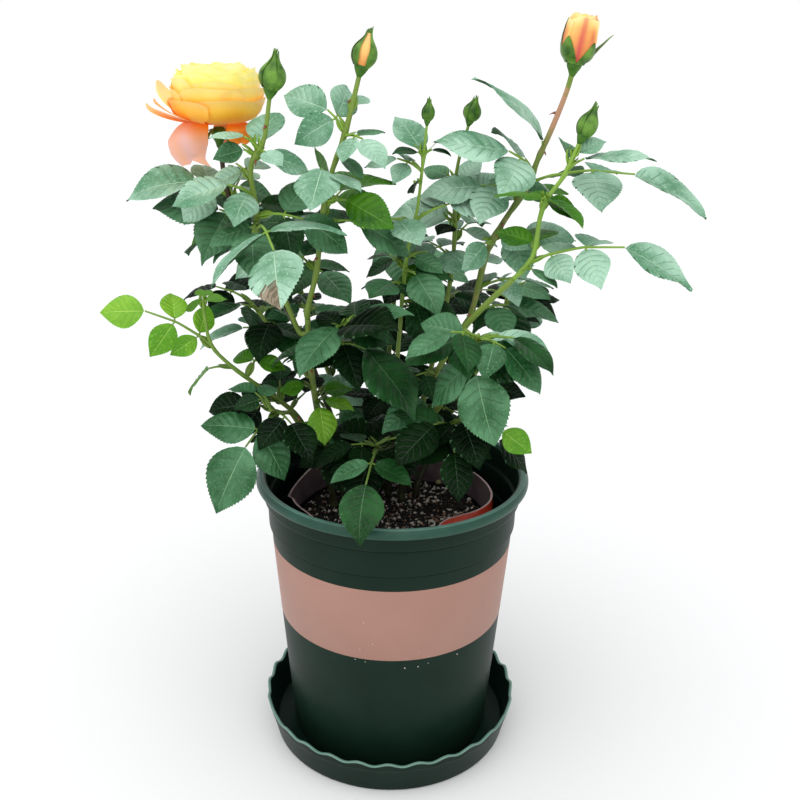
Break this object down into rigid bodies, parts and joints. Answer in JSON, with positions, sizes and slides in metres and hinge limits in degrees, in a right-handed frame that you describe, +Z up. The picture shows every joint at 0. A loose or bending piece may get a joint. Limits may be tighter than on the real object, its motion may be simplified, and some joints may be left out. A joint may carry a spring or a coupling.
{
  "type": "rose bush",
  "caption": "Rose bush in a tapered garden pot on a scalloped saucer, with leafy canes, closed buds and an open ruffled bloom.",
  "frame": {"origin": "centre of the saucer's flat underside", "axes": "+Z up along the pot's axis, +X to the right and +Y away as the picture shows the plant"},
  "size_m": [0.341, 0.26, 0.4523],
  "materials": {
    "saucer": "semi-matt moulded plastic, dark green",
    "pot": "semi-matt moulded plastic, dark green, with a dusty pink band",
    "liner": "soft thin plastic, brick red outside and black inside",
    "mix": "moist dark potting mix with pale grains",
    "cane": "smooth green bark with thorns",
    "foliage": "satin leaves, blue-green",
    "young_foliage": "satin young leaves, bright green"
  },
  "bodies": {
    "root": {"saucer": "saucer", "pot": "pot", "nursery_liner": "liner", "potting_mix": "mix", "cane_bloom": "cane", "cane_bud_centre": "cane", "cane_low_left": "cane", "cane_bud_right": "cane", "cane_open_bud": "cane", "cane_bud_back": "cane", "cane_small_bud": "cane", "cane_back_left": "cane", "cane_back": "cane", "cane_back_right": "cane", "bough_bud_left": "cane", "bough_left": "cane", "bough_centre": "cane", "bough_right_low": "cane", "bough_front_low": "cane", "bough_right_inside": "cane", "bough_lower_left": "cane", "foliage_bloom": "foliage", "foliage_bud_left": "foliage", "foliage_bud_centre": "foliage", "foliage_low_left": "young_foliage", "foliage_bud_right": "foliage", "foliage_open_bud": "foliage", "foliage_bud_back": "foliage", "foliage_small_bud": "foliage", "foliage_left": "foliage", "foliage_centre": "foliage", "foliage_right_low": "foliage", "foliage_front_low": "foliage", "foliage_right_inside": "foliage", "foliage_lower_left": "foliage", "foliage_back_left": "foliage", "foliage_back": "foliage", "foliage_back_right": "foliage"}
  },
  "joints": []
}
